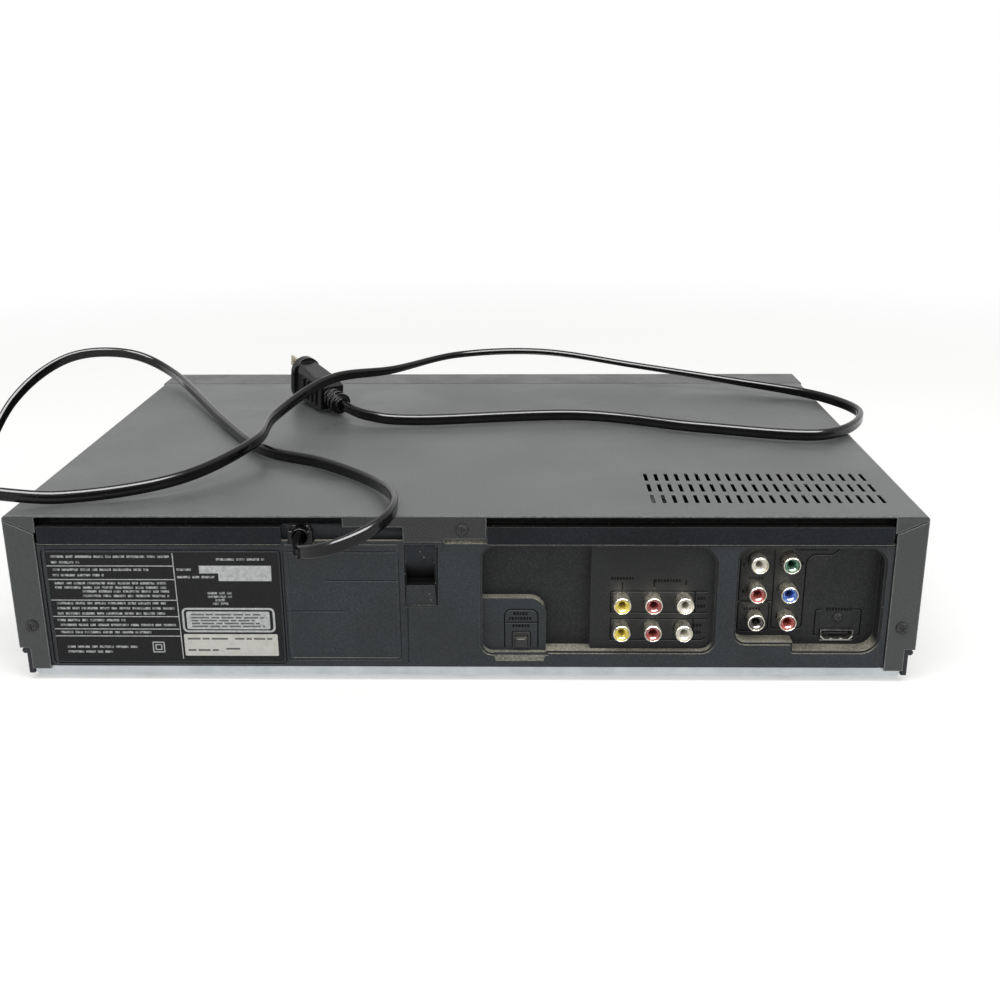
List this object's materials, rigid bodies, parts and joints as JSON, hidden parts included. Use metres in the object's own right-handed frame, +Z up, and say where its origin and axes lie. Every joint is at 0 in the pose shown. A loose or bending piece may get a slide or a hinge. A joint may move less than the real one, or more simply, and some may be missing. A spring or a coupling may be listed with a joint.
{
  "type": "dvd vcr combo player",
  "caption": "Low combined cassette and disc player with sprung door, disc tray, jack pockets and mains cord.",
  "frame": {"origin": "centre of the footprint of the object without its cord, on the surface that the feet stand on", "axes": "+Z up, -Y out of the front panel, +X to the right of someone facing the front"},
  "size_m": [0.5715, 0.3464, 0.1143],
  "materials": {
    "cover_paint": "satin dark grey paint with fine dust",
    "zinc_sheet": "zinc-plated sheet",
    "deck_steel": "stamped zinc-plated steel",
    "frame_plastic": "fine moulded texture",
    "panel_plastic": "fine moulded texture",
    "front_plastic": "silver lacquered plastic",
    "window_plastic": "smoked",
    "button_plastic": "silver lacquered plastic",
    "door_plastic": "dark silver lacquered plastic",
    "screw_steel": "dark zinc",
    "foot_rubber": "matte",
    "board_laminate": "green solder resist",
    "ferrite": "ferrite and tape",
    "ribbon_film": "pale film",
    "jack_body": "moulded",
    "jack_nickel": "nickel plate",
    "jack_insulator": "coloured insulators",
    "socket_steel": "tin plate",
    "socket_plastic": "moulded",
    "drum_aluminium": "fine turned",
    "reel_plastic": "moulded",
    "turned_steel": "turned and polished",
    "motor_board": "laminate with copper coils",
    "arm_steel": "stamped",
    "roller_rubber": "ground rubber",
    "gear_plastic": "natural acetal",
    "motor_can": "drawn can",
    "loader_plastic": "moulded",
    "tray_plastic": "fine moulded texture",
    "belt_rubber": "matte",
    "traverse_metal": "stamped",
    "pickup_body": "die-cast and moulded",
    "clamper_plastic": "moulded",
    "cord_vinyl": "soft glossy vinyl",
    "plug_vinyl": "moulded vinyl",
    "blade_brass": "stamped"
  },
  "bodies": {
    "housing": {"top_cover": "cover_paint", "bottom_plate": "zinc_sheet", "feet": "foot_rubber", "main_frame": "frame_plastic", "rear_panel": "panel_plastic", "screws": "screw_steel", "front_fascia": "front_plastic", "display_window": "window_plastic", "front_board": "board_laminate", "main_board": "board_laminate", "power_board": "board_laminate", "power_transformer": "ferrite", "ribbon_cables": "ribbon_film", "jack_blocks": "jack_body", "jack_sleeves": "jack_nickel", "jack_liners": "jack_insulator", "hdmi_socket": "socket_steel", "optical_socket": "socket_plastic", "deck_plate": "deck_steel", "lower_drum": "drum_aluminium", "capstan_motor": "motor_board", "loading_motor": "motor_can", "loader_frame": "loader_plastic", "tray_belt": "belt_rubber", "tray_motor": "motor_can", "cord_bush": "plug_vinyl", "power_cord": "cord_vinyl", "plug_body": "plug_vinyl", "plug_blades": "blade_brass"},
    "tray": {"disc_tray": "tray_plastic", "tray_front": "front_plastic"},
    "power_button": {"power_button": "button_plastic"},
    "open_close_button": {"open_close_button": "button_plastic"},
    "deck_select_button": {"deck_select_button": "button_plastic"},
    "dvd_play_button": {"dvd_play_button": "button_plastic"},
    "dvd_stop_button": {"dvd_stop_button": "button_plastic"},
    "vcr_eject_button": {"vcr_eject_button": "button_plastic"},
    "vcr_rewind_button": {"vcr_rewind_button": "button_plastic"},
    "vcr_play_button": {"vcr_play_button": "button_plastic"},
    "vcr_forward_button": {"vcr_forward_button": "button_plastic"},
    "vcr_stop_button": {"vcr_stop_button": "button_plastic"},
    "cassette_door": {"cassette_door": "door_plastic"},
    "optical_shutter": {"optical_shutter": "socket_plastic"},
    "head_drum": {"head_drum": "drum_aluminium"},
    "supply_reel": {"supply_reel": "reel_plastic"},
    "take_up_reel": {"take_up_reel": "reel_plastic"},
    "capstan": {"capstan": "turned_steel"},
    "pinch_arm": {"pinch_arm": "arm_steel"},
    "pinch_roller": {"pinch_roller": "roller_rubber"},
    "supply_guide": {"supply_guide": "turned_steel"},
    "take_up_guide": {"take_up_guide": "turned_steel"},
    "cassette_holder": {"cassette_holder": "deck_steel"},
    "cam_gear": {"cam_gear": "gear_plastic"},
    "loading_pinion": {"loading_pinion": "gear_plastic"},
    "tray_gear": {"tray_gear": "gear_plastic"},
    "motor_pulley": {"motor_pulley": "gear_plastic"},
    "traverse": {"traverse": "traverse_metal"},
    "pickup": {"pickup": "pickup_body"},
    "turntable": {"turntable": "reel_plastic"},
    "clamper": {"clamper": "clamper_plastic"}
  },
  "joints": [
    {"name": "cassette_door_hinge", "type": "hinge", "parent": "housing", "child": "cassette_door", "pos_m": [-0.102, -0.1485, 0.0755], "axis": [1, 0, 0], "range_deg": [0, 88], "stiffness_Nm_per_rad": 0.004},
    {"name": "power_button_press", "type": "slide", "parent": "housing", "child": "power_button", "axis": [0, 1, 0], "range_m": [0, 0.0006], "stiffness_N_per_m": 400},
    {"name": "open_close_button_press", "type": "slide", "parent": "housing", "child": "open_close_button", "axis": [0, 1, 0], "range_m": [0, 0.0006], "stiffness_N_per_m": 400},
    {"name": "deck_select_button_press", "type": "slide", "parent": "housing", "child": "deck_select_button", "axis": [0, 1, 0], "range_m": [0, 0.0006], "stiffness_N_per_m": 400},
    {"name": "dvd_play_button_press", "type": "slide", "parent": "housing", "child": "dvd_play_button", "axis": [0, 1, 0], "range_m": [0, 0.0006], "stiffness_N_per_m": 400},
    {"name": "dvd_stop_button_press", "type": "slide", "parent": "housing", "child": "dvd_stop_button", "axis": [0, 1, 0], "range_m": [0, 0.0006], "stiffness_N_per_m": 400},
    {"name": "vcr_eject_button_press", "type": "slide", "parent": "housing", "child": "vcr_eject_button", "axis": [0, 1, 0], "range_m": [0, 0.0006], "stiffness_N_per_m": 400},
    {"name": "vcr_rewind_button_press", "type": "slide", "parent": "housing", "child": "vcr_rewind_button", "axis": [0, 1, 0], "range_m": [0, 0.0006], "stiffness_N_per_m": 400},
    {"name": "vcr_play_button_press", "type": "slide", "parent": "housing", "child": "vcr_play_button", "axis": [0, 1, 0], "range_m": [0, 0.0006], "stiffness_N_per_m": 400},
    {"name": "vcr_forward_button_press", "type": "slide", "parent": "housing", "child": "vcr_forward_button", "axis": [0, 1, 0], "range_m": [0, 0.0006], "stiffness_N_per_m": 400},
    {"name": "vcr_stop_button_press", "type": "slide", "parent": "housing", "child": "vcr_stop_button", "axis": [0, 1, 0], "range_m": [0, 0.0006], "stiffness_N_per_m": 400},
    {"name": "optical_shutter_hinge", "type": "hinge", "parent": "housing", "child": "optical_shutter", "pos_m": [-0.0272, 0.1476, 0.0229], "axis": [-1, 0, 0], "range_deg": [0, 80], "stiffness_Nm_per_rad": 0.0002},
    {"name": "head_drum_spin", "type": "hinge", "parent": "housing", "child": "head_drum", "pos_m": [-0.102, 0.082, 0.03], "axis": [0.1045, 0, 0.9945], "continuous": true},
    {"name": "supply_reel_spin", "type": "hinge", "parent": "housing", "child": "supply_reel", "pos_m": [-0.1475, -0.017, 0.03], "axis": [0, 0, 1], "continuous": true},
    {"name": "take_up_reel_spin", "type": "hinge", "parent": "housing", "child": "take_up_reel", "pos_m": [-0.0565, -0.017, 0.03], "axis": [0, 0, 1], "continuous": true},
    {"name": "capstan_spin", "type": "hinge", "parent": "housing", "child": "capstan", "pos_m": [-0.048, 0.05, 0.03], "axis": [0, 0, 1], "continuous": true},
    {"name": "pinch_arm_swing", "type": "hinge", "parent": "housing", "child": "pinch_arm", "pos_m": [-0.024, 0.064, 0.027], "axis": [0, 0, 1], "range_deg": [0, 22], "stiffness_Nm_per_rad": 0.01},
    {"name": "pinch_roller_spin", "type": "hinge", "parent": "pinch_arm", "child": "pinch_roller", "pos_m": [-0.04884, 0.06659, 0.035], "axis": [0, 0, 1], "continuous": true},
    {"name": "cam_gear_turn", "type": "hinge", "parent": "housing", "child": "cam_gear", "pos_m": [-0.172, 0.096, 0.026], "axis": [0, 0, 1], "range_deg": [0, 280]},
    {"name": "loading_pinion_turn", "type": "hinge", "parent": "housing", "child": "loading_pinion", "pos_m": [-0.172, 0.074, 0.026], "axis": [0, 0, 1], "range_deg": [-748, 0]},
    {"name": "supply_guide_load", "type": "hinge", "parent": "housing", "child": "supply_guide", "pos_m": [-0.102, 0.082, 0.024], "axis": [0, 0, 1], "range_deg": [-70.05, 0]},
    {"name": "take_up_guide_load", "type": "hinge", "parent": "housing", "child": "take_up_guide", "pos_m": [-0.102, 0.082, 0.024], "axis": [0, 0, 1], "range_deg": [0, 70.05]},
    {"name": "holder_slide", "type": "slide", "parent": "housing", "child": "cassette_holder", "axis": [0, 1, 0], "range_m": [0, 0.048]},
    {"name": "tray_slide", "type": "slide", "parent": "housing", "child": "tray", "axis": [0, -1, 0], "range_m": [0, 0.14]},
    {"name": "tray_gear_turn", "type": "hinge", "parent": "housing", "child": "tray_gear", "pos_m": [0.058, -0.124, 0.056], "axis": [0, 0, 1], "range_deg": [0, 803]},
    {"name": "motor_pulley_turn", "type": "hinge", "parent": "housing", "child": "motor_pulley", "pos_m": [0.104, -0.124, 0.048], "axis": [0, 0, 1], "range_deg": [0, 2346]},
    {"name": "traverse_lift", "type": "hinge", "parent": "housing", "child": "traverse", "pos_m": [0.104, 0.05, 0.047], "axis": [-1, 0, 0], "range_deg": [0, 2.68]},
    {"name": "pickup_slide", "type": "slide", "parent": "traverse", "child": "pickup", "axis": [0, 1, 0], "range_m": [0, 0.034]},
    {"name": "turntable_spin", "type": "hinge", "parent": "traverse", "child": "turntable", "pos_m": [0.104, -0.078, 0.056], "axis": [0, 0, 1], "continuous": true},
    {"name": "clamper_spin", "type": "hinge", "parent": "housing", "child": "clamper", "pos_m": [0.104, -0.078, 0.071], "axis": [0, 0, 1], "continuous": true}
  ],
  "couplings": [
    {"joint": "tray_gear_turn", "follows": "tray_slide", "rad_per_m": 100},
    {"joint": "motor_pulley_turn", "follows": "tray_slide", "rad_per_m": 292.3},
    {"joint": "loading_pinion_turn", "follows": "cam_gear_turn", "ratio": -2.6667},
    {"joint": "supply_guide_load", "follows": "cam_gear_turn", "ratio": -0.25},
    {"joint": "take_up_guide_load", "follows": "cam_gear_turn", "ratio": 0.25}
  ]
}
